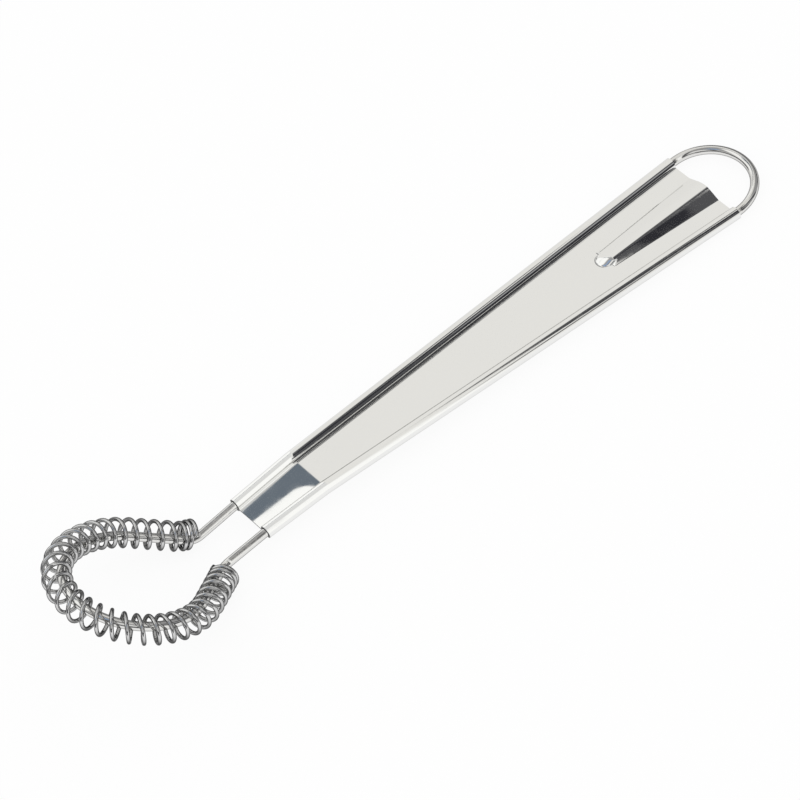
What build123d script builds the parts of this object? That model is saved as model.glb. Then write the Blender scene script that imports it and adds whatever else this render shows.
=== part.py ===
from build123d import *
import math
import os

# Coil whisk for dough and sauce: a stamped sheet handle rolled round the two legs of one bent
# wire, whose far end makes a pear-shaped head that carries a loose coil spring.
# Millimetres and degrees. The handle is drawn flat first: x runs along it from the crossbend
# towards the hanging loop, y across it, z up from its front. The finished whisk is then laid on
# its back, on the heel of the spring and the wide end of the handle.

# Frame wire
wire_diameter = 2.7
slight_bend_radius = 24.0
butt_gap = 0.2

# Handle sheet
sheet_thickness = 0.5
roll_clearance = 0.15
handle_length = 150.0
narrow_length = 21.0
wide_pitch = 28.0
crossbend_pitch = 15.2
narrow_pitch = 13.7
crossbend_angle = 4.6
plate_depth = 0.25
foot_radius = 0.4
seam_angle = 42.0
butt_place_share = 0.45

# Rib pressed into the wide end of the plate
rib_length = 41.0
rib_height = 2.3
rib_nose_width = 5.9
rib_nose_crest_width = 3.2
rib_end_width = 12.4
rib_end_crest_width = 2.4
rib_crest_crown = 0.45
rib_ramp_length = 3.5

# Hanging loop
loop_run = 0.6
loop_tilt = 2.5
loop_bend_radius = 6.0

# Neck, between the handle and the head
neck_length = 15.4
neck_pitch = 13.2
neck_angle = 7.2
head_bend_radius = 6.0

# Head
head_angle = 22.3
head_radius = 20.1
head_reach = 26.4

# Coil spring on the head
coil_diameter = 8.8
coil_wire_diameter = 1.2
coil_wire_sides = 6
coil_clearance = 0.4
coil_setback = 3.4
coil_open_turns = 30
coil_end_turns = 3
coil_end_gap = 0.5
coil_start_angle = 70.0
gap_points_per_turn = 24

wire_radius = wire_diameter / 2
bore_radius = wire_radius + roll_clearance
roll_radius = bore_radius + sheet_thickness
plate_top = -plate_depth
plate_bottom = plate_top - sheet_thickness
coil_helix_radius = (coil_diameter - coil_wire_diameter) / 2
coil_wire_radius = coil_wire_diameter / 2
coil_offset = coil_helix_radius - coil_wire_radius - coil_clearance - wire_radius

narrow_end = Vector(-narrow_length, 0, 0).rotate(Axis.Y, -crossbend_angle)
fold = narrow_end + Vector(-neck_length, 0, 0).rotate(Axis.Y, -neck_angle)
head_plane = Plane(
    origin=fold,
    x_dir=Vector(-1, 0, 0).rotate(Axis.Y, head_angle),
    z_dir=Vector(0, 0, 1).rotate(Axis.Y, head_angle),
)


# Head path: in its own plane, x runs from the neck to the tip of the head
def head_tangent():
    """Angle of the straight flank, and where it meets the round of the head."""
    half_pitch = neck_pitch / 2
    to_centre = math.hypot(head_reach, half_pitch)
    flank_angle = math.asin(head_radius / to_centre) - math.atan2(half_pitch, head_reach)
    flank_length = math.sqrt(to_centre**2 - head_radius**2)
    return flank_angle, flank_length


def head_route(distance, offset):
    """Point, direction and outward normal at a distance along the head, offset outwards."""
    flank_angle, flank_length = head_tangent()
    round_radius = head_radius + offset
    round_angle = math.pi + 2 * flank_angle
    total = 2 * flank_length + round_radius * round_angle
    mirrored = distance > total / 2
    along = total - distance if mirrored else distance
    if along < flank_length:
        direction = (math.cos(flank_angle), math.sin(flank_angle))
        outward = (-direction[1], direction[0])
        x = along * direction[0] + offset * outward[0]
        y = neck_pitch / 2 + along * direction[1] + offset * outward[1]
        curvature = 0
    else:
        turn = (along - flank_length) / round_radius
        polar = math.pi / 2 + flank_angle - turn
        outward = (math.cos(polar), math.sin(polar))
        direction = (math.sin(polar), -math.cos(polar))
        x = head_reach + round_radius * outward[0]
        y = round_radius * outward[1]
        curvature = 1 / round_radius
    if mirrored:
        return (x, -y), (-direction[0], direction[1]), (outward[0], -outward[1]), curvature
    return (x, y), direction, outward, curvature


def head_route_length(offset):
    flank_angle, flank_length = head_tangent()
    return 2 * flank_length + (head_radius + offset) * (math.pi + 2 * flank_angle)


def on_head(x, y, z=0):
    """A point of the head's plane; y is positive on the side of the handle's left roll."""
    return fold + head_plane.x_dir * x + Vector(0, y, 0) + head_plane.z_dir * z


# Frame wire: one wire, butted inside the left roll
def loop_places():
    """Tangent point and apex of the hanging loop, in its tilted plane."""
    slope = math.atan2((wide_pitch - crossbend_pitch) / 2, handle_length)
    side = wide_pitch / 2 + loop_run * math.tan(slope)
    radius = side / math.cos(slope)
    apex = loop_run + radius * (1 + math.sin(slope))
    tilt = math.radians(loop_tilt)
    end = Vector(handle_length + loop_run * math.cos(tilt), side, loop_run * math.sin(tilt))
    top = Vector(handle_length + apex * math.cos(tilt), 0, apex * math.sin(tilt))
    return end, top


def leg_points(side):
    """Corners of one leg, from the wide end of the handle to the flank of the head."""
    flank_angle, flank_length = head_tangent()
    return [
        Vector(handle_length, side * wide_pitch / 2, 0),
        Vector(0, side * crossbend_pitch / 2, 0),
        narrow_end + Vector(0, side * narrow_pitch / 2, 0),
        fold + Vector(0, side * neck_pitch / 2, 0),
        on_head(
            flank_length * math.cos(flank_angle),
            side * (neck_pitch / 2 + flank_length * math.sin(flank_angle)),
        ),
    ]


def leg_point_at(share):
    wide, crossbend = leg_points(1)[:2]
    return crossbend + (wide - crossbend) * share


def frame_wire():
    butt = leg_point_at(butt_place_share)
    half_gap = (leg_point_at(1) - butt).normalized() * (butt_gap / 2)
    left = leg_points(1)
    right = leg_points(-1)
    loop_end, loop_top = loop_places()
    loop_start = Vector(loop_end.X, -loop_end.Y, loop_end.Z)
    bends = [slight_bend_radius, slight_bend_radius, head_bend_radius]
    outward_leg = FilletPolyline(butt - half_gap, *left[1:], radius=bends)
    round_of_head = ThreePointArc(left[-1], on_head(head_reach + head_radius, 0), right[-1])
    return_leg = FilletPolyline(
        *reversed(right), loop_start, radius=[*reversed(bends), loop_bend_radius]
    )
    hanging_loop = ThreePointArc(loop_start, loop_top, loop_end)
    last_stretch = FilletPolyline(loop_end, left[0], butt + half_gap, radius=[loop_bend_radius])
    stretches = [outward_leg, round_of_head, return_leg, hanging_loop, last_stretch]
    path = Wire([edge for stretch in stretches for edge in stretch.edges()])
    start = Plane(origin=path @ 0, z_dir=path % 0)
    return sweep(start * Circle(wire_radius), path=path)


# Handle: one sheet, its two long edges rolled round the legs from the front
def circle_point(centre, radius, angle):
    turn = math.radians(angle)
    return (centre + radius * math.cos(turn), radius * math.sin(turn))


def arc_about(centre, radius, start, end):
    middle = (start + end) / 2
    return ThreePointArc(*(circle_point(centre, radius, a) for a in (start, middle, end)))


def half_sheet_outline(half_pitch):
    """Outline of the sheet right of its centre line, from the plate's top to its underside."""
    foot_reach = math.sqrt((roll_radius + foot_radius) ** 2 - (plate_top + foot_radius) ** 2)
    foot_centre = half_pitch - foot_reach
    foot_lift = math.degrees(math.atan2(plate_top + foot_radius, foot_reach))
    foot_middle = math.radians(-(90 + foot_lift) / 2)
    foot_arc = ThreePointArc(
        (foot_centre, plate_top),
        (
            foot_centre + foot_radius * math.cos(foot_middle),
            plate_top + foot_radius * (1 + math.sin(foot_middle)),
        ),
        circle_point(half_pitch, roll_radius, 180 - foot_lift),
    )
    free_edge = seam_angle - 180
    bore_end = 180 - math.degrees(math.asin(plate_bottom / bore_radius))
    outer_arcs = [
        arc_about(half_pitch, roll_radius, 180 - foot_lift, 0),
        arc_about(half_pitch, roll_radius, 0, free_edge),
    ]
    inner_arcs = [
        arc_about(half_pitch, bore_radius, free_edge, 0),
        arc_about(half_pitch, bore_radius, 0, bore_end / 2),
        arc_about(half_pitch, bore_radius, bore_end / 2, bore_end),
    ]
    edge_line = Line(
        circle_point(half_pitch, roll_radius, free_edge),
        circle_point(half_pitch, bore_radius, free_edge),
    )
    top_line = Line((0, plate_top), (foot_centre, plate_top))
    bottom_line = Line(circle_point(half_pitch, bore_radius, bore_end), (0, plate_bottom))
    return [top_line, foot_arc, *outer_arcs, edge_line, *inner_arcs, bottom_line]


def sheet_section(place, pitch, tilt):
    """Section of the sheet across the handle, its plane leaning back by the tilt."""
    along = Vector(1, 0, 0).rotate(Axis.Y, -tilt)
    across = Plane(origin=place, x_dir=(0, 1, 0), z_dir=along)
    half = half_sheet_outline(pitch / 2)
    outline = half + [mirror(edge, about=Plane.YZ) for edge in half]
    return across * make_face(outline)


def rolled_sheet():
    sections = [
        sheet_section(narrow_end, narrow_pitch, crossbend_angle),
        sheet_section(Vector(0, 0, 0), crossbend_pitch, crossbend_angle / 2),
        sheet_section(Vector(handle_length, 0, 0), wide_pitch, 0),
    ]
    return loft(sections, ruled=True)


def rib_section(place, width, crest_width, inset):
    """Two straight flanks and a crowned crest; inset by the sheet for the hollow below."""
    shoulder_height = rib_height - rib_crest_crown
    flank_slope = math.atan2(shoulder_height, (width - crest_width) / 2)
    narrowing = inset * math.tan(flank_slope / 2)
    foot = width / 2 - narrowing
    shoulder = crest_width / 2 - narrowing
    base = plate_top - inset
    flanks = [(-foot, base), (-shoulder, base + shoulder_height)]
    crest = ThreePointArc(
        flanks[1], (0, base + rib_height), (shoulder, base + shoulder_height)
    )
    left = Line(*flanks)
    right = Line((shoulder, base + shoulder_height), (foot, base))
    across = Plane(origin=(place, 0, 0), x_dir=(0, 1, 0), z_dir=(1, 0, 0))
    return across * make_face([left, crest, right, Line((foot, base), (-foot, base))])


def rib_form(inset):
    """The rib's solid: its sections lofted to the wide end, then its nose rounded."""
    nose = handle_length - rib_length
    base = plate_top - inset
    body = loft(
        [
            rib_section(nose, rib_nose_width, rib_nose_crest_width, inset),
            rib_section(handle_length, rib_end_width, rib_end_crest_width, inset),
        ],
        ruled=True,
    )
    ramp_radius = (rib_ramp_length**2 + rib_height**2) / (2 * rib_height) - inset
    ramp_top = nose + rib_ramp_length
    ramp_run = math.sqrt(ramp_radius**2 - (ramp_radius - rib_height) ** 2)
    ramp_angle = math.asin(ramp_run / ramp_radius) / 2
    ramp_middle = (
        ramp_top - ramp_radius * math.sin(ramp_angle),
        base + rib_height - ramp_radius * (1 - math.cos(ramp_angle)),
    )
    high = base + rib_height
    side_outline = [
        ThreePointArc((ramp_top - ramp_run, base), ramp_middle, (ramp_top, high)),
        Line((ramp_top, high), (handle_length, high)),
        Line((handle_length, high), (handle_length, base)),
        Line((handle_length, base), (ramp_top - ramp_run, base)),
    ]
    side_form = extrude(Plane.XZ * make_face(side_outline), rib_end_width, both=True)
    nose_radius = rib_nose_width / 2
    round_end = Pos(ramp_top - ramp_run + nose_radius, 0) * Circle(nose_radius)
    beyond = rib_length - nose_radius
    rest_of_rib = Pos(handle_length - beyond / 2, 0) * Rectangle(beyond, rib_end_width)
    plan_form = extrude(Pos(0, 0, base) * (round_end + rest_of_rib), rib_height)
    return body & side_form & plan_form


def handle():
    return rolled_sheet() + rib_form(0) - rib_form(sheet_thickness)


# Coil spring: one right-handed tube threaded on the head, its end turns wound closer
def coil_distance(turn):
    """Distance along the head's route at a turn number, and its rate per turn."""
    start = coil_setback
    end_rate = coil_wire_diameter + coil_end_gap
    length = head_route_length(coil_offset) - 2 * coil_setback
    open_rate = (length - 2 * coil_end_turns * end_rate) / coil_open_turns
    if turn < coil_end_turns:
        return start + end_rate * turn, end_rate
    if turn == coil_end_turns:
        return start + end_rate * turn, (end_rate + open_rate) / 2
    first = start + end_rate * coil_end_turns
    opened = turn - coil_end_turns
    if opened < coil_open_turns:
        return first + open_rate * opened, open_rate
    if opened == coil_open_turns:
        return first + open_rate * opened, (end_rate + open_rate) / 2
    last = first + open_rate * coil_open_turns
    return last + end_rate * (opened - coil_open_turns), end_rate


def coil_point(turn):
    """Point and direction of the spring's centre line at a turn number."""
    distance, rate = coil_distance(turn)
    (x, y), direction, outward, curvature = head_route(distance, coil_offset)
    angle = math.radians(coil_start_angle) - 2 * math.pi * turn
    reach = coil_helix_radius * math.cos(angle)
    rise = coil_helix_radius * math.sin(angle)
    point = on_head(x + reach * outward[0], y + reach * outward[1], rise)
    forward = rate * (1 + reach * curvature)
    sideways = 2 * math.pi * rise
    climb = -2 * math.pi * reach
    ahead = on_head(
        forward * direction[0] + sideways * outward[0],
        forward * direction[1] + sideways * outward[1],
        climb,
    )
    return point, (ahead - on_head(0, 0)).normalized()


def biarc(start, start_direction, end, end_direction):
    """Two arcs, tangent to each other and to the given directions at their ends."""
    span = end - start
    both = start_direction + end_direction
    spread = 2 * (1 - start_direction.dot(end_direction))
    slant = span.dot(both)
    arm = (math.sqrt(slant**2 + spread * span.dot(span)) - slant) / spread
    first_corner = start + start_direction * arm
    second_corner = end - end_direction * arm
    joint = (first_corner + second_corner) / 2
    joint_direction = (second_corner - first_corner).normalized()
    return [
        Edge.make_tangent_arc(start, start_direction, joint),
        Edge.make_tangent_arc(joint, joint_direction, end),
    ]


def coil_turns():
    return 2 * coil_end_turns + coil_open_turns


def coil_spring():
    """The tube is faceted, its corners on the round wire's surface."""
    half_turns = [coil_point(i / 2) for i in range(2 * coil_turns() + 1)]
    arcs = []
    for (start, start_direction), (end, end_direction) in zip(half_turns, half_turns[1:]):
        arcs += biarc(start, start_direction, end, end_direction)
    path = Wire(arcs)
    first = Plane(origin=path @ 0, z_dir=path % 0)
    section = first * RegularPolygon(coil_wire_radius, coil_wire_sides)
    return sweep(section, path=path, clean=False)


def least_coil_gap():
    """Least distance between the surfaces of turns that are half a turn or more apart."""
    count = gap_points_per_turn * coil_turns()
    points = [coil_point(i / gap_points_per_turn)[0] for i in range(count + 1)]
    nearest = min(
        (points[i] - points[j]).length
        for i in range(count + 1)
        for j in range(i + gap_points_per_turn // 2, min(i + 3 * gap_points_per_turn, count + 1))
    )
    return nearest - coil_wire_diameter


# Resting place: the whisk lies on its back, on the spring's heel and the handle's wide end
def rest_angle():
    """Pitch at which the spring's lowest turn and the wide end touch the same level."""
    count = gap_points_per_turn * coil_turns()
    angles = []
    for i in range(count + 1):
        point = coil_point(i / gap_points_per_turn)[0]
        along = handle_length - point.X
        down = -roll_radius - point.Z
        reach = math.hypot(along, down)
        angles.append(math.atan2(down, along) + math.asin(coil_wire_radius / reach))
    return math.degrees(max(angles))


def whisk():
    return {"handle": handle(), "frame_wire": frame_wire(), "coil_spring": coil_spring()}


def laid_down(pieces):
    """Every piece pitched to its resting angle, with the whole centred over the origin."""
    pitched = {name: Rot(Y=rest_angle()) * piece.solid() for name, piece in pieces.items()}
    box = Compound(pitched.values()).bounding_box()
    middle = box.center()
    shift = Pos(-middle.X, -middle.Y, -box.min.Z)
    return {name: shift * piece for name, piece in pitched.items()}


os.makedirs("parts", exist_ok=True)
for node, piece in laid_down(whisk()).items():
    piece.label = node
    export_step(piece, f"parts/{node}.step")
print("least gap between the spring's turns", round(least_coil_gap(), 3))
print("resting pitch", round(rest_angle(), 3))
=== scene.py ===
import bpy
import math
from mathutils import Matrix, Vector


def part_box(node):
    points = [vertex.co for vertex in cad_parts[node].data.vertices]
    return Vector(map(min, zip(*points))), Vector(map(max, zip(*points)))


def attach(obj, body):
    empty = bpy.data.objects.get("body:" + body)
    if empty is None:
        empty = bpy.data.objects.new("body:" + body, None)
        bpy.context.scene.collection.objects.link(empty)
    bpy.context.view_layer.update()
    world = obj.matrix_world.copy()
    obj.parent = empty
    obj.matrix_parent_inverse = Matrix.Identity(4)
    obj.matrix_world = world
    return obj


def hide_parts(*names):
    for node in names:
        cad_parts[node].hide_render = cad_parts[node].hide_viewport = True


# A coil whisk in polished stainless steel, lying on its back on a white table. Lengths are in
# millimetres on the whisk's own line: x runs along the handle from the crossbend towards the
# hanging loop, y across it towards the left roll, z up from its front.
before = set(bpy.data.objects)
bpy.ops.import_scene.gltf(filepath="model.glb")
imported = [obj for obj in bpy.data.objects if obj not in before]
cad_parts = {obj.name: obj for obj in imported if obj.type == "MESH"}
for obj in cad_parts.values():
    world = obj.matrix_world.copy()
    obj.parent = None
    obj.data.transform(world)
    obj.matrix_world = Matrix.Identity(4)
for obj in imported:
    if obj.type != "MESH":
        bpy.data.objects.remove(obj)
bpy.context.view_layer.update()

# Frame wire
# One length of 2.7 mm bright drawn stainless wire. It is bent to a half-round hanging loop, two
# straight legs, a short sprung neck and a pear-shaped head, and its ends meet in the left roll.
wire_diameter = 2.7
slight_bend_radius = 24.0
wire_butt_gap = 0.2
butt_place_share = 0.45
handle_length = 150.0
narrow_length = 21.0
wide_pitch = 28.0
crossbend_pitch = 15.2
narrow_pitch = 13.7
crossbend_angle = math.radians(4.6)
loop_run = 0.6
loop_tilt = math.radians(2.5)
loop_bend_radius = 6.0
neck_length = 15.4
neck_pitch = 13.2
neck_angle = math.radians(7.2)
head_bend_radius = 6.0
head_angle = math.radians(22.3)
head_radius = 20.1
head_reach = 26.4
wire_sides = 40
wire_step = 0.5
least_bend_steps = 6


def downward(length, angle):
    """A step from the handle towards the head, falling away from the plate by an angle."""
    return Vector((-length * math.cos(angle), 0, -length * math.sin(angle)))


narrow_end = downward(narrow_length, crossbend_angle)
fold = narrow_end + downward(neck_length, neck_angle)
head_along = downward(1, -head_angle)
head_up = Vector((math.sin(head_angle), 0, math.cos(head_angle)))
half_neck = neck_pitch / 2
to_round = math.hypot(head_reach, half_neck)
flank_angle = math.asin(head_radius / to_round) - math.atan2(half_neck, head_reach)
flank_length = math.sqrt(to_round**2 - head_radius**2)
leg_slope = math.atan2((wide_pitch - crossbend_pitch) / 2, handle_length)
loop_radius = (wide_pitch / 2 + loop_run * math.tan(leg_slope)) / math.cos(leg_slope)
loop_centre = loop_run + loop_radius * math.sin(leg_slope)


def head_route_length(offset):
    return 2 * flank_length + (head_radius + offset) * (math.pi + 2 * flank_angle)


def head_route(distance, offset):
    """Point, direction and outward normal in the head's plane, from the left flank's start."""
    round_radius = head_radius + offset
    total = head_route_length(offset)
    mirrored = distance > total / 2
    along = total - distance if mirrored else distance
    if along < flank_length:
        direction = (math.cos(flank_angle), math.sin(flank_angle))
        outward = (-direction[1], direction[0])
        x = along * direction[0] + offset * outward[0]
        y = half_neck + along * direction[1] + offset * outward[1]
    else:
        polar = math.pi / 2 + flank_angle - (along - flank_length) / round_radius
        outward = (math.cos(polar), math.sin(polar))
        direction = (math.sin(polar), -math.cos(polar))
        x = head_reach + round_radius * outward[0]
        y = round_radius * outward[1]
    if mirrored:
        return (x, -y), (-direction[0], direction[1]), (outward[0], -outward[1])
    return (x, y), direction, outward


def on_head(x, y, z=0.0):
    return fold + head_along * x + Vector((0, y, 0)) + head_up * z


def on_loop(angle):
    """A point of the hanging loop, measured round its centre from the far end."""
    x = loop_centre + loop_radius * math.cos(angle)
    y = loop_radius * math.sin(angle)
    return Vector((handle_length + x * math.cos(loop_tilt), y, x * math.sin(loop_tilt)))


def bent(corners, radii):
    """Points along straight runs whose corners are bent to the given radii."""
    points = [corners[0]]
    for before, corner, after, radius in zip(corners, corners[1:], corners[2:], radii):
        into = (corner - before).normalized()
        out = (after - corner).normalized()
        turn = into.angle(out)
        centre = corner + (out - into).normalized() * (radius / math.cos(turn / 2))
        spoke = corner - into * (radius * math.tan(turn / 2)) - centre
        count = max(least_bend_steps, round(radius * turn / wire_step))
        for i in range(count + 1):
            swing = turn * i / count
            points.append(centre + spoke * math.cos(swing) + into * radius * math.sin(swing))
    return [*points, corners[-1]]


def leg(side):
    run, rise = flank_length * math.cos(flank_angle), flank_length * math.sin(flank_angle)
    return [
        Vector((handle_length, side * wide_pitch / 2, 0)),
        Vector((0, side * crossbend_pitch / 2, 0)),
        narrow_end + Vector((0, side * narrow_pitch / 2, 0)),
        fold + Vector((0, side * half_neck, 0)),
        on_head(run, side * (half_neck + rise)),
    ]


def wire_route():
    left, right = leg(1), leg(-1)
    butt = left[1].lerp(left[0], butt_place_share)
    half_gap = (left[0] - butt).normalized() * (wire_butt_gap / 2)
    bends = [slight_bend_radius, slight_bend_radius, head_bend_radius]
    round_length = head_route_length(0) - 2 * flank_length
    count = round(round_length / wire_step)
    head = [
        on_head(*head_route(flank_length + round_length * i / count, 0)[0]) for i in range(1, count)
    ]
    half_turn = math.pi / 2 + leg_slope
    count = round(2 * half_turn * loop_radius / wire_step)
    loop = [on_loop(half_turn * (2 * i / count - 1)) for i in range(count + 1)]
    out = bent([butt - half_gap, *left[1:]], bends)
    back = bent([*reversed(right), loop[0]], [*reversed(bends), loop_bend_radius])
    last = bent([loop[-1], left[0], butt + half_gap], [loop_bend_radius])
    return [*out, *head, *back, *loop[1:-1], *last]


def ring_frames(route):
    """Two directions square to the route at each point, turned as little as they can be."""
    ahead = [(b - a).normalized() for a, b in zip(route, route[1:])]
    tangents = [ahead[0], *((a + b).normalized() for a, b in zip(ahead, ahead[1:])), ahead[-1]]
    side = tangents[0].orthogonal().normalized()
    frames = []
    for tangent in tangents:
        side = (side - tangent * side.dot(tangent)).normalized()
        frames.append((side, tangent.cross(side)))
    return frames


# The whisk lies on its back, pitched by the height of the spring's heel. The frame's own boxes
# fix where the drawing goes: the loop's far end in x, the handle's low wide end in z.
resting_pitch = math.radians(1.456)
millimetre = 0.001
lying = Matrix.Rotation(resting_pitch, 3, "Y")
wire_places = wire_route()
far_reach = max((lying @ place).x for place in wire_places) + wire_diameter / 2
low_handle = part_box("handle")[0].z
high_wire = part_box("frame_wire")[1].x


def laid(points, lowest):
    """Points of the drawing in metres, where the whisk lies; lowest is the drawing's low point."""
    floor = (lying @ Vector(lowest)).z
    places = [lying @ Vector(point) for point in points]
    return [
        (
            high_wire + (p.x - far_reach) * millimetre,
            p.y * millimetre,
            low_handle + (p.z - floor) * millimetre,
        )
        for p in places
    ]


sheet_thickness = 0.5
roll_clearance = 0.15
bore_radius = wire_diameter / 2 + roll_clearance
roll_radius = bore_radius + sheet_thickness
low_point = (handle_length, 0, -roll_radius)
crisp_angle = math.radians(50)


def add_mesh(name, points, faces, uvs):
    """A smooth mesh with crisp cut edges; its map runs in millimetres along and across."""
    mesh = bpy.data.meshes.new(name)
    mesh.from_pydata(laid(points, low_point), [], faces)
    layer = mesh.uv_layers.new(name="run")
    for loop in mesh.loops:
        layer.data[loop.index].uv = uvs[loop.vertex_index]
    mesh.polygons.foreach_set("use_smooth", [True] * len(mesh.polygons))
    mesh.set_sharp_from_angle(angle=crisp_angle)
    mesh.update()
    piece = bpy.data.objects.new(name, mesh)
    bpy.context.scene.collection.objects.link(piece)
    return piece


def drawn_wire(name, route, radius, sides):
    """A round wire along a route, its ends cut square."""
    points, uvs, distance = [], [], 0.0
    for i, (place, (side, other)) in enumerate(zip(route, ring_frames(route))):
        if i:
            distance += (place - route[i - 1]).length
        for j in range(sides):
            angle = 2 * math.pi * j / sides
            points.append(place + (side * math.cos(angle) + other * math.sin(angle)) * radius)
            uvs.append((distance, radius * min(angle, 2 * math.pi - angle)))
    faces = []
    for i in range(len(route) - 1):
        for j in range(sides):
            k = (j + 1) % sides
            faces.append((i * sides + j, i * sides + k, (i + 1) * sides + k, (i + 1) * sides + j))
    last = (len(route) - 1) * sides
    faces.append(tuple(reversed(range(sides))))
    faces.append(tuple(range(last, last + sides)))
    return add_mesh(name, points, faces, uvs)


even_blend = 0.5
streak_detail = 4
pit_detail = 5
pit_range = (0.3, 0.7)


def steel(
    name, colour, rim_shade_colour, rim_shade_reach, grazing, roughness, spread, streaks, streak_depth, pits, pit_depth
):
    """Bare steel: faint streaks along the piece, shallow pits that mottle its gloss, and painted shade
    that darkens its colour towards the rims.
    """
    material = bpy.data.materials.new(name)
    material.use_nodes = True
    nodes, links = material.node_tree.nodes, material.node_tree.links
    shader = nodes["Principled BSDF"]
    shader.inputs["Metallic"].default_value = 1.0
    shader.inputs["Specular Tint"].default_value = (grazing, grazing, grazing, 1)
    # Painted shade: the base colour moves from the colour towards the darker rim colour as the surface
    # turns away from the view.
    facing_away = nodes.new("ShaderNodeLayerWeight")
    facing_away.inputs["Blend"].default_value = even_blend
    rim_shade_ramp = nodes.new("ShaderNodeMapRange")
    rim_shade_ramp.interpolation_type = "SMOOTHSTEP"
    rim_shade_ramp.inputs["From Min"].default_value = rim_shade_reach[0]
    rim_shade_ramp.inputs["From Max"].default_value = rim_shade_reach[1]
    rim_shaded_tone = nodes.new("ShaderNodeMix")
    rim_shaded_tone.data_type = "RGBA"
    rim_shaded_tone.inputs[6].default_value = (*colour, 1)
    rim_shaded_tone.inputs[7].default_value = (*rim_shade_colour, 1)
    links.new(facing_away.outputs["Facing"], rim_shade_ramp.inputs["Value"])
    links.new(rim_shade_ramp.outputs["Result"], rim_shaded_tone.inputs["Factor"])
    links.new(rim_shaded_tone.outputs[2], shader.inputs["Base Color"])
    run = nodes.new("ShaderNodeUVMap")
    run.uv_map = "run"
    stretch = nodes.new("ShaderNodeMapping")
    stretch.inputs["Scale"].default_value = (*streaks, 1)
    grain = nodes.new("ShaderNodeTexNoise")
    grain.inputs["Detail"].default_value = streak_detail
    grain.inputs["Scale"].default_value = 1
    place = nodes.new("ShaderNodeTexCoord")
    mottle = nodes.new("ShaderNodeTexNoise")
    mottle.inputs["Scale"].default_value = pits
    mottle.inputs["Detail"].default_value = pit_detail
    gloss = nodes.new("ShaderNodeMapRange")
    gloss.inputs["From Min"].default_value = pit_range[0]
    gloss.inputs["From Max"].default_value = pit_range[1]
    gloss.inputs["To Min"].default_value = roughness - spread
    gloss.inputs["To Max"].default_value = roughness + spread
    fine = nodes.new("ShaderNodeBump")
    fine.inputs["Strength"].default_value = 1
    fine.inputs["Distance"].default_value = streak_depth * millimetre
    coarse = nodes.new("ShaderNodeBump")
    coarse.inputs["Strength"].default_value = 1
    coarse.inputs["Distance"].default_value = pit_depth * millimetre
    links.new(run.outputs["UV"], stretch.inputs["Vector"])
    links.new(stretch.outputs["Vector"], grain.inputs["Vector"])
    links.new(place.outputs["Object"], mottle.inputs["Vector"])
    links.new(mottle.outputs["Fac"], gloss.inputs["Value"])
    links.new(gloss.outputs["Result"], shader.inputs["Roughness"])
    links.new(grain.outputs["Fac"], fine.inputs["Height"])
    links.new(mottle.outputs["Fac"], coarse.inputs["Height"])
    links.new(coarse.outputs["Normal"], fine.inputs["Normal"])
    links.new(fine.outputs["Normal"], shader.inputs["Normal"])
    return material


# Painted shade: the wire's colour darkens from its centre to about half at the rims it turns away from
# the view.
bright_wire = steel(
    "bright_drawn_wire", colour=(0.76, 0.755, 0.74), rim_shade_colour=(0.40, 0.395, 0.385),
    rim_shade_reach=(0.3, 0.85), grazing=0.4, roughness=0.10, spread=0.04,
    streaks=(0.15, 14), streak_depth=0.0015, pits=900, pit_depth=0.0012,
)
frame_wire = drawn_wire("frame_wire_drawn", wire_places, wire_diameter / 2, wire_sides)
frame_wire.data.materials.append(bright_wire)
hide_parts("frame_wire")
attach(frame_wire, "root")

# Coil spring
# One length of 1.2 mm spring wire, wound right-handed and threaded on the head before the neck is
# closed. Its end turns are wound tight; the open turns between them lie a little unevenly.
coil_diameter = 8.8
coil_wire_diameter = 1.2
coil_clearance = 0.4
coil_turns = 36
tight_pitch = 1.2
coil_pitches = [
    (0, tight_pitch), (1.5, tight_pitch), (3, 3.8), (9, 3.1), (12, 3.5), (15, 4.5), (18, 4.0),
    (22, 3.5), (33, 3.3), (34.5, 1.5), (coil_turns, tight_pitch),
]
coil_leans = [(0, -0.1, 0.25), (14, -0.1, 0.2), (21, -0.05, 0.1), (coil_turns, -0.05, 0.05)]
coil_start_angle = 150.0
coil_start = 0.9
coil_lift_reach = 4.2
coil_lift_slope = 0.36
coil_end_distance = 119.8
coil_points_per_turn = 40
coil_sides = 16
coil_helix_radius = (coil_diameter - coil_wire_diameter) / 2
coil_offset = coil_helix_radius - coil_wire_diameter / 2 - coil_clearance - wire_diameter / 2


def between(table, turn):
    """Values from a table whose rows start with a turn, shared out between its neighbours."""
    for before, after in zip(table, table[1:]):
        if turn <= after[0]:
            share = (turn - before[0]) / (after[0] - before[0])
            return [low + (high - low) * share for low, high in zip(before[1:], after[1:])]
    return list(table[-1][1:])


def coil_distances():
    """Distance along the head at every point of the wound wire: tight at the ends, open between."""
    count = coil_turns * coil_points_per_turn
    spare = [
        (between(coil_pitches, (i + 0.5) / coil_points_per_turn)[0] - tight_pitch)
        / coil_points_per_turn
        for i in range(count)
    ]
    stretch = (coil_end_distance - coil_start - coil_turns * tight_pitch) / sum(spare)
    distances = [coil_start]
    for extra in spare:
        distances.append(distances[-1] + tight_pitch / coil_points_per_turn + extra * stretch)
    return distances


def coil_route():
    """The wound wire: loose turns hang outwards on the core, and lean back a little."""
    route = []
    for i, distance in enumerate(coil_distances()):
        angle = math.radians(coil_start_angle) - 2 * math.pi * i / coil_points_per_turn
        reach = coil_helix_radius * math.cos(angle)
        rise = coil_helix_radius * math.sin(angle)
        rise_lean, reach_lean = between(coil_leans, i / coil_points_per_turn)
        leaning = distance + rise_lean * rise + reach_lean * reach
        (x, y), _, outward = head_route(leaning, 0)
        reach += coil_offset
        from_end = min(distance, head_route_length(0) - distance)
        rise += coil_lift_slope * max(coil_lift_reach - from_end, 0)
        route.append(on_head(x + reach * outward[0], y + reach * outward[1], rise))
    return route


# Painted shade: the spring's colour darkens to near black at the rims it turns away from the view,
# which draws the dark lines along its turns.
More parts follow.
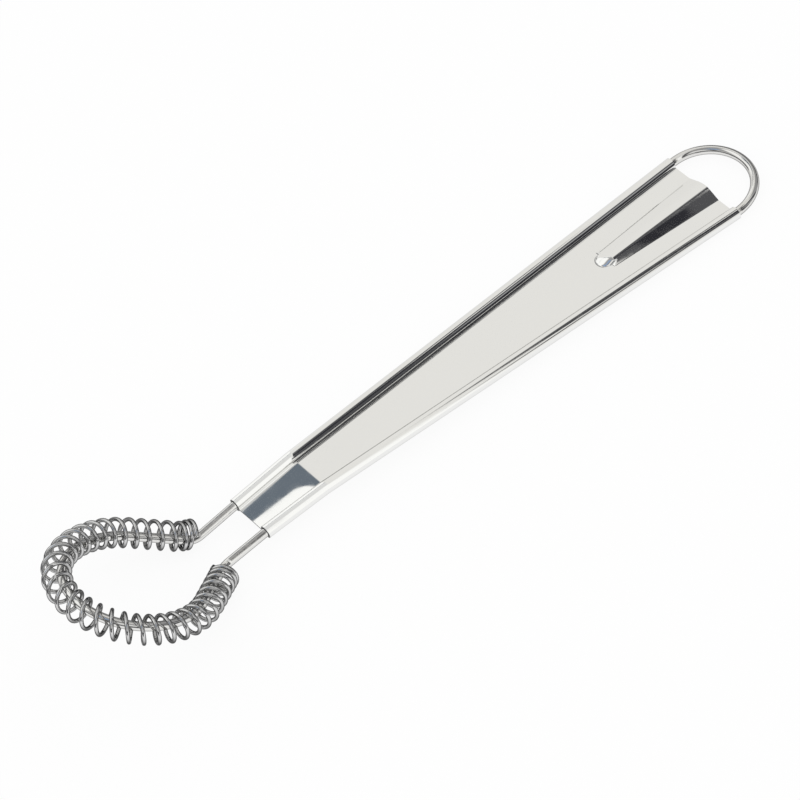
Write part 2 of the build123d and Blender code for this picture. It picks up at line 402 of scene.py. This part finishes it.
spring_steel = steel(
    "spring_wire_steel", colour=(0.63, 0.63, 0.63), rim_shade_colour=(0.11, 0.11, 0.11),
    rim_shade_reach=(0.15, 0.60), grazing=0.5, roughness=0.10, spread=0.04,
    streaks=(0.2, 16), streak_depth=0.002, pits=1500, pit_depth=0.0015,
)
coil_spring = drawn_wire("coil_spring_wound", coil_route(), coil_wire_diameter / 2, coil_sides)
coil_spring.data.materials.append(spring_steel)
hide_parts("coil_spring")
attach(coil_spring, "root")

# Handle
# One sheet of 0.5 mm stainless, mirror-polished. Its long edges are rolled over the legs from the
# front, a rib is pressed up into the wide end, and the narrow end is bent down at the crossbend.
plate_top = -0.25
plate_bottom = plate_top - sheet_thickness
foot_radius = 0.4
free_edge = math.radians(42 - 180)
rib_height_nose, rib_height_end = 1.3, 2.25
rib_nose = 109.0
rib_nose_radius = 2.9
rib_ramp = 3.0
rib_left_shoulder, rib_left_foot = (-1.0, 0.4), (3.3, 6.1)
rib_right_shoulder, rib_right_foot = (2.05, 1.9), (3.8, 6.5)
rib_left_softness = 0.3
rib_right_softness = 0.25
rib_foot_softness = 0.06
groove_depth = 0.11
groove_reach = 0.45
groove_end = 138.0
groove_fade = 5.0
narrow_crown = 0.1
crown_run = narrow_length / 4
foot_reach = math.sqrt((roll_radius + foot_radius) ** 2 - (plate_top + foot_radius) ** 2)
foot_lift = math.atan2(plate_top + foot_radius, foot_reach)
bore_end = math.pi - math.asin(plate_bottom / bore_radius)
bend_half = slight_bend_radius * crossbend_angle / 2
plate_columns = {"crest": 8, "flank": 20, "foot": 12, "flat": 14}
foot_strip = 0.45
widest_foot_share = 0.8
widest_shoulder_share = 0.6
least_shoulder = 0.3
foot_columns = 8
roll_columns = 72
slope_probe = 0.01
straight_row, plain_row, fine_row = 2.0, 1.0, 0.12
nose_margin = 1.0
ramp_margin = 3.0


def station(s):
    """Centre-line point, tilt of the sheet and half pitch of the rolls at a distance s."""
    if s >= 0:
        half_pitch = (crossbend_pitch + (wide_pitch - crossbend_pitch) * s / handle_length) / 2
    else:
        half_pitch = (crossbend_pitch + (crossbend_pitch - narrow_pitch) * s / narrow_length) / 2
    if s >= bend_half:
        return Vector((s, 0, 0)), 0.0, half_pitch
    tilt = min((bend_half - s) / slight_bend_radius, crossbend_angle)
    sagitta = slight_bend_radius * (1 - math.cos(tilt))
    place = Vector((bend_half - slight_bend_radius * math.sin(tilt), 0, -sagitta))
    return place + downward(max(0, -bend_half - s), crossbend_angle), tilt, half_pitch


def soft_step(share, foot_softness, crest_softness):
    """Rises from 0 to 1 in a straight ramp whose foot and crest are rounded."""
    def corner(value, softness):
        if value < -softness:
            return 0.0
        if value > softness:
            return value
        return (value + softness) ** 2 / (4 * softness)
    return corner(share, foot_softness) - corner(share - 1, crest_softness)


def rib_share(s):
    return min(max((s - rib_nose) / (handle_length - rib_nose), 0), 1)


def rib_edges(s, side):
    """Where the rib's crest and foot are on one side; both spread from the nose to the end."""
    pairs = (rib_left_shoulder, rib_left_foot) if side > 0 else (rib_right_shoulder, rib_right_foot)
    return [nose + (end - nose) * rib_share(s) for nose, end in pairs]


def rib_rise(s, y):
    """Height of the pressed rib above the plate, with the press's fine groove at its left foot."""
    left_shoulder, left_foot = rib_edges(s, 1)
    right_shoulder, right_foot = rib_edges(s, -1)
    share = (left_foot - y) / (left_foot - left_shoulder)
    left = soft_step(share, rib_foot_softness, rib_left_softness)
    share = (right_foot + y) / (right_foot - right_shoulder)
    right = soft_step(share, rib_foot_softness, rib_right_softness)
    height = rib_height_nose + (rib_height_end - rib_height_nose) * rib_share(s)
    round_off = rib_nose_radius - math.sqrt(max(rib_nose_radius**2 - y**2, 0))
    past_nose = s - rib_nose - round_off
    ramp = soft_step(past_nose / rib_ramp, rib_foot_softness, rib_left_softness)
    bite = max(1 - (min(left_foot - y, past_nose) / groove_reach) ** 2, 0) ** 2
    fade = min(max((groove_end - s) / groove_fade, 0), 1) * min(max(y + rib_nose_radius, 0), 1)
    return height * min(left * right, ramp) - groove_depth * bite * fade


def plate_places(s, edge, side):
    """Places across half the plate, closest together at the rib's foot."""
    shoulder, foot = rib_edges(s, side)
    foot = min(foot, edge * widest_foot_share)
    shoulder = min(max(shoulder, least_shoulder), foot * widest_shoulder_share)
    marks = [
        (0, shoulder, "crest"),
        (shoulder, foot - foot_strip, "flank"),
        (foot - foot_strip, foot + foot_strip, "foot"),
        (foot + foot_strip, edge, "flat"),
    ]
    places = []
    for start, end, zone in marks:
        count = plate_columns[zone]
        places += [start + (end - start) * i / count for i in range(count)]
    return [*places, edge]


def half_section(s, half_pitch, side):
    """The sheet's outer and inner surface from the centre to the free edge, on one side."""
    edge = half_pitch - foot_reach
    outer, inner = [], []
    crown = narrow_crown * min(max(-s / crown_run, 0), 1)
    for y in plate_places(s, edge, side):
        y *= side
        rise = rib_rise(s, y) + crown * (1 - (y / edge) ** 2)
        slope = (rib_rise(s, y + slope_probe) - rib_rise(s, y - slope_probe)) / (2 * slope_probe)
        slope_along = (rib_rise(s + slope_probe, y) - rib_rise(s - slope_probe, y)) / (2 * slope_probe)
        upright = math.sqrt(1 + slope**2 + slope_along**2)
        outer.append((0.0, y, plate_top + rise))
        inner.append((
            slope_along / upright * sheet_thickness,
            y + slope / upright * sheet_thickness,
            plate_top + rise - sheet_thickness / upright,
        ))
    rolled, lining = [], []
    for i in range(1, foot_columns + 1):
        swing = -math.pi / 2 + (math.pi / 2 - foot_lift) * i / foot_columns
        y = edge + foot_radius * math.cos(swing)
        rolled.append((y, plate_top + foot_radius + foot_radius * math.sin(swing)))
        reach = half_pitch + bore_radius * math.cos(bore_end)
        lining.append((edge + (reach - edge) * i / foot_columns, plate_bottom))
    for i in range(1, roll_columns + 1):
        share = i / roll_columns
        turned = math.pi - foot_lift + (free_edge - math.pi + foot_lift) * share
        rolled.append((half_pitch + roll_radius * math.cos(turned), roll_radius * math.sin(turned)))
        turned = bore_end + (free_edge - bore_end) * share
        lining.append((half_pitch + bore_radius * math.cos(turned), bore_radius * math.sin(turned)))
    outer += [(0.0, side * y, z) for y, z in rolled]
    inner += [(0.0, side * y, z) for y, z in lining]
    return outer, inner


def sheet_rows():
    """Distances along the handle, close together at the crossbend and at the rib's nose."""
    rows = []
    nose_start = rib_nose - nose_margin
    nose_end = rib_nose + rib_ramp + ramp_margin
    stretches = [
        (-narrow_length, -bend_half, plain_row),
        (-bend_half, bend_half, fine_row),
        (bend_half, nose_start, straight_row),
        (nose_start, nose_end, fine_row),
        (nose_end, handle_length, plain_row),
    ]
    for start, end, step in stretches:
        count = math.ceil((end - start) / step)
        rows += [start + (end - start) * i / count for i in range(count)]
    return [*rows, handle_length]


def rolled_sheet():
    points, uvs, faces = [], [], []
    rows = sheet_rows()
    for s in rows:
        place, tilt, half_pitch = station(s)
        left_outer, left_inner = half_section(s, half_pitch, 1)
        right_outer, right_inner = half_section(s, half_pitch, -1)
        ring = [*reversed(left_outer), *right_outer[1:], *reversed(right_inner), *left_inner[1:]]
        along = Vector((math.cos(tilt), 0, math.sin(tilt)))
        up = Vector((-math.sin(tilt), 0, math.cos(tilt)))
        run = 0.0
        before = ring[0]
        for x, y, z in ring:
            run += math.hypot(y - before[1], z - before[2])
            before = (x, y, z)
            points.append(place + along * x + Vector((0, y, 0)) + up * z)
            uvs.append((s, run))
    width = len(points) // len(rows)
    for i in range(len(rows) - 1):
        for j in range(width):
            k = (j + 1) % width
            faces.append((i * width + j, (i + 1) * width + j, (i + 1) * width + k, i * width + k))
    half = width // 2
    last = (len(rows) - 1) * width
    ends = len(faces)
    for j in range(half - 1):
        k = width - 1 - j
        faces.append((j, j + 1, k - 1, k))
        faces.append((last + j, last + k, last + k - 1, last + j + 1))
    piece = add_mesh("handle_rolled", points, faces, uvs)
    for face in piece.data.polygons:
        edge_strip = face.index < ends and face.index % width in (half - 1, width - 1)
        face.material_index = 1 if face.index >= ends or edge_strip else 0
    return piece


# Painted shade: the sheet and its cut edges darken a little towards the rims they turn away from the
# view.
polished_sheet = steel(
    "mirror_polished_sheet", colour=(0.85, 0.85, 0.84), rim_shade_colour=(0.80, 0.80, 0.79),
    rim_shade_reach=(0.5, 0.95), grazing=0.8, roughness=0.045, spread=0.02,
    streaks=(0.05, 1.2), streak_depth=0.0002, pits=300, pit_depth=0.0004,
)
sheared_edge = steel(
    "sheared_sheet_edge", colour=(0.42, 0.42, 0.42), rim_shade_colour=(0.30, 0.30, 0.30),
    rim_shade_reach=(0.4, 0.9), grazing=0.3, roughness=0.35, spread=0.08,
    streaks=(4, 30), streak_depth=0.004, pits=3000, pit_depth=0.003,
)
handle = rolled_sheet()
handle.data.materials.append(polished_sheet)
handle.data.materials.append(sheared_edge)
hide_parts("handle")
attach(handle, "root")

# Table and studio
# A white table in a bright tent. The steel mirrors the tent's large front light, the darker room
# over the head, and the dark and light things that stand round the table.
table_half = 3.0
table_height = -0.0001
table_white = 0.93
table_roughness = 0.9
table_gloss = 0.2
table_glow = 0.9
corner_signs = ((-1, -1), (1, -1), (1, 1), (-1, 1))
table_corners = [(x * table_half, y * table_half, 0) for x, y in corner_signs]
table_mesh = bpy.data.meshes.new("table_top")
table_mesh.from_pydata(table_corners, [], [(0, 1, 2, 3)])
table_top = bpy.data.objects.new("table_top", table_mesh)
table_top.location.z = table_height
bpy.context.scene.collection.objects.link(table_top)
white_table = bpy.data.materials.new("white_table")
white_table.use_nodes = True
nodes, links = white_table.node_tree.nodes, white_table.node_tree.links
matt = nodes["Principled BSDF"]
matt.inputs["Base Color"].default_value = (table_white, table_white, table_white, 1)
matt.inputs["Roughness"].default_value = table_roughness
matt.inputs["Specular IOR Level"].default_value = table_gloss
bright = nodes.new("ShaderNodeEmission")
rays = nodes.new("ShaderNodeLightPath")
seen = nodes.new("ShaderNodeMath")
seen.operation = "MAXIMUM"
share_lit = nodes.new("ShaderNodeMath")
share_lit.operation = "MULTIPLY"
share_lit.inputs[1].default_value = table_glow
blend = nodes.new("ShaderNodeMixShader")
links.new(rays.outputs["Is Camera Ray"], seen.inputs[0])
links.new(rays.outputs["Is Glossy Ray"], seen.inputs[1])
links.new(seen.outputs[0], share_lit.inputs[0])
links.new(share_lit.outputs[0], blend.inputs["Fac"])
links.new(matt.outputs["BSDF"], blend.inputs[1])
links.new(bright.outputs["Emission"], blend.inputs[2])
links.new(blend.outputs["Shader"], nodes["Material Output"].inputs["Surface"])
table_mesh.materials.append(white_table)

world = bpy.data.worlds.new("white_tent")
bpy.context.scene.world = world
world.use_nodes = True
nodes, links = world.node_tree.nodes, world.node_tree.links
sky = nodes["Background"]
sky.inputs["Strength"].default_value = 1.0
facing = nodes.new("ShaderNodeTexCoord")
lengthwise, crosswise, upward = (1, 0, 0), (0, 1, 0), (0, 0, 1)


def along(direction, start, end):
    """Goes from 0 to 1 as a ray's share along a direction goes from start to end, up or down."""
    dot = nodes.new("ShaderNodeVectorMath")
    dot.operation = "DOT_PRODUCT"
    dot.inputs[1].default_value = direction
    ramp = nodes.new("ShaderNodeMapRange")
    ramp.interpolation_type = "SMOOTHSTEP"
    ramp.inputs["From Min"].default_value = start
    ramp.inputs["From Max"].default_value = end
    links.new(facing.outputs["Generated"], dot.inputs[0])
    links.new(dot.outputs["Value"], ramp.inputs["Value"])
    return ramp.outputs["Result"]


def patch(*limits):
    """A soft-edged patch of ray directions, inside all of its limits."""
    mask = along(*limits[0])
    for limit in limits[1:]:
        product = nodes.new("ShaderNodeMath")
        product.operation = "MULTIPLY"
        links.new(mask, product.inputs[0])
        links.new(along(*limit), product.inputs[1])
        mask = product.outputs["Value"]
    return mask


def round_spot(azimuth, elevation, radius, softness):
    """A round patch of ray directions, in degrees."""
    turn, tilt = math.radians(azimuth), math.radians(elevation)
    flat = math.cos(tilt)
    middle = (flat * math.cos(turn), flat * math.sin(turn), math.sin(tilt))
    inner, outer = math.radians(radius - softness), math.radians(radius + softness)
    return along(middle, math.cos(outer), math.cos(inner))


def painted(under, colour, mask):
    over = nodes.new("ShaderNodeMix")
    over.data_type = "RGBA"
    for socket, shade in ((over.inputs[6], under), (over.inputs[7], colour)):
        if isinstance(shade, tuple):
            socket.default_value = (*shade, 1)
        else:
            links.new(shade, socket)
    links.new(mask, over.inputs["Factor"])
    return over.outputs[2]


# The room, its lights and its dark corners, which the spring and the neck mirror.
room = (0.38, 0.375, 0.37)
white_light = (1.12, 1.12, 1.10)
dark_lamp = round_spot(azimuth=86, elevation=50, radius=9, softness=4)
blue_window = round_spot(azimuth=-160, elevation=60, radius=10, softness=6)
round_light = round_spot(azimuth=123, elevation=45, radius=27, softness=4)
low_light = patch((upward, 0.70, 0.12))
right_dark = patch((lengthwise, 0.15, 0.13), (crosswise, -0.2, -0.35), (upward, 0.12, 0.25))
head_dark = patch((lengthwise, -0.35, -0.45), (upward, 0.42, 0.32))
right_wall = patch((crosswise, -0.3, -0.5), (lengthwise, 0.05, -0.15), (upward, 0.42, 0.5))
view = painted(room, (0.06, 0.07, 0.10), dark_lamp)
view = painted(view, (0.30, 0.42, 0.62), blue_window)
view = painted(view, white_light, round_light)
view = painted(view, white_light, low_light)
view = painted(view, (0.10, 0.10, 0.105), right_dark)
view = painted(view, (0.13, 0.13, 0.135), head_dark)
view = painted(view, (0.84, 0.84, 0.83), right_wall)

# The front light, in three tones, and the slate board that the narrow end mirrors.
tent = (0.89, 0.88, 0.85)
across_narrow = (0.03, 0.81, -0.58)
front_light = patch((lengthwise, 0.150, 0.175))
narrow_light = patch((lengthwise, 0.150, 0.175), (crosswise, -0.45, -0.25), (crosswise, 0.5, 0.42))
tent_wall = patch((lengthwise, 0.30, 0.335))
slate_board = patch(
    (lengthwise, 0.345, 0.315), (lengthwise, -0.3, -0.1), (crosswise, 0.2, 0.3),
    (across_narrow, -0.026, -0.020), (across_narrow, 0.085, 0.07),
)
view = painted(view, white_light, front_light)
view = painted(view, (0.80, 0.80, 0.79), narrow_light)
view = painted(view, tent, tent_wall)
view = painted(view, (0.155, 0.185, 0.22), slate_board)

# The far wall beyond the loop, and its dark foot.
far_wall = patch((lengthwise, 0.50, 0.56))
far_foot = patch((lengthwise, 0.50, 0.56), (upward, 0.40, 0.30))
view = painted(view, (0.34, 0.34, 0.34), far_wall)
view = painted(view, (0.08, 0.08, 0.085), far_foot)

# The grey and black cloths on the right, which the rolls and the rib's right flank mirror.
black_cloth = (0.03, 0.03, 0.036)
grey_cloth = (0.09, 0.09, 0.095)
low_cloth = (0.08, 0.08, 0.085)
stand_edge = (0.938, 0, 0.347)
cloth_side = (lengthwise, 0.384, 0.394)
cloth_end = (lengthwise, 0.440, 0.430)
rib_start = (lengthwise, 0.356, 0.364)
rib_elevation = (upward, 0.66, 0.74)
side_grey = patch((lengthwise, 0.395, 0.405), (crosswise, -0.05, -0.2))
right_line = patch((lengthwise, 0.315, 0.335), (crosswise, -0.70, -0.74), (crosswise, -0.88, -0.84))
stand = patch((lengthwise, 0.395, 0.402), (stand_edge, 0.612, 0.592), (crosswise, -0.2, -0.4))
grey_side = patch(cloth_side, cloth_end, (crosswise, 0.25, 0.1), (upward, 0.2, 0.4))
rib_side = patch(rib_start, cloth_end, rib_elevation, (crosswise, 0.30, 0.0))
rib_dark = patch(
    rib_start, cloth_end, rib_elevation, (crosswise, -0.285, -0.30), (crosswise, -0.42, -0.40)
)
black_side = patch(cloth_side, cloth_end, (crosswise, -0.285, -0.30), (crosswise, -0.62, -0.56))
low_side = patch(
    (lengthwise, 0.365, 0.378), cloth_end, (upward, 0.2, 0.4),
    (crosswise, -0.60, -0.64), (crosswise, -0.90, -0.86),
)
left_line = patch((lengthwise, 0.430, 0.440), (crosswise, -0.30, -0.36), (crosswise, -0.56, -0.50))
light_gap = patch(
    (lengthwise, 0.408, 0.416), (upward, 0.7, 0.8), (crosswise, -0.02, -0.06),
    (crosswise, -0.24, -0.20),
)
view = painted(view, (0.36, 0.36, 0.365), side_grey)
view = painted(view, (0.12, 0.12, 0.125), right_line)
view = painted(view, black_cloth, stand)
view = painted(view, grey_cloth, grey_side)
view = painted(view, grey_cloth, rib_side)
view = painted(view, black_cloth, rib_dark)
view = painted(view, black_cloth, black_side)
view = painted(view, low_cloth, low_side)
view = painted(view, (0.07, 0.07, 0.075), left_line)
view = painted(view, tent, light_gap)

# Only mirrored rays see all this; the light itself is plain white.
rays = nodes.new("ShaderNodeLightPath")
view = painted((1.0, 1.0, 1.0), view, rays.outputs["Is Glossy Ray"])
links.new(view, sky.inputs["Color"])
bpy.context.scene.view_settings.view_transform = "Standard"

# Camera
# A long lens, a metre and a third away, looking down on the whisk's right side and tipped a little.
camera_elevation = math.radians(49.487)
camera_azimuth = math.radians(-120.849)
camera_roll = math.radians(-12.214)
camera_distance = 1.3775
camera_aim = Vector((-0.00316, 0.00548, 0))
camera_lens = 218.73
film_width = 36
near_limit = 0.05
back = Vector((
    math.cos(camera_elevation) * math.cos(camera_azimuth),
    math.cos(camera_elevation) * math.sin(camera_azimuth),
    math.sin(camera_elevation),
))
level_right = Vector((0, 0, 1)).cross(back).normalized()
level_up = back.cross(level_right)
right = level_right * math.cos(camera_roll) + level_up * math.sin(camera_roll)
up = back.cross(right)
camera_data = bpy.data.cameras.new("photo_camera")
camera_data.lens = camera_lens
camera_data.sensor_width = film_width
camera_data.clip_start = near_limit
camera = bpy.data.objects.new("photo_camera", camera_data)
turned = Matrix((right, up, back)).transposed()
camera.matrix_world = Matrix.Translation(camera_aim + back * camera_distance) @ turned.to_4x4()
bpy.context.scene.collection.objects.link(camera)
bpy.context.scene.camera = camera
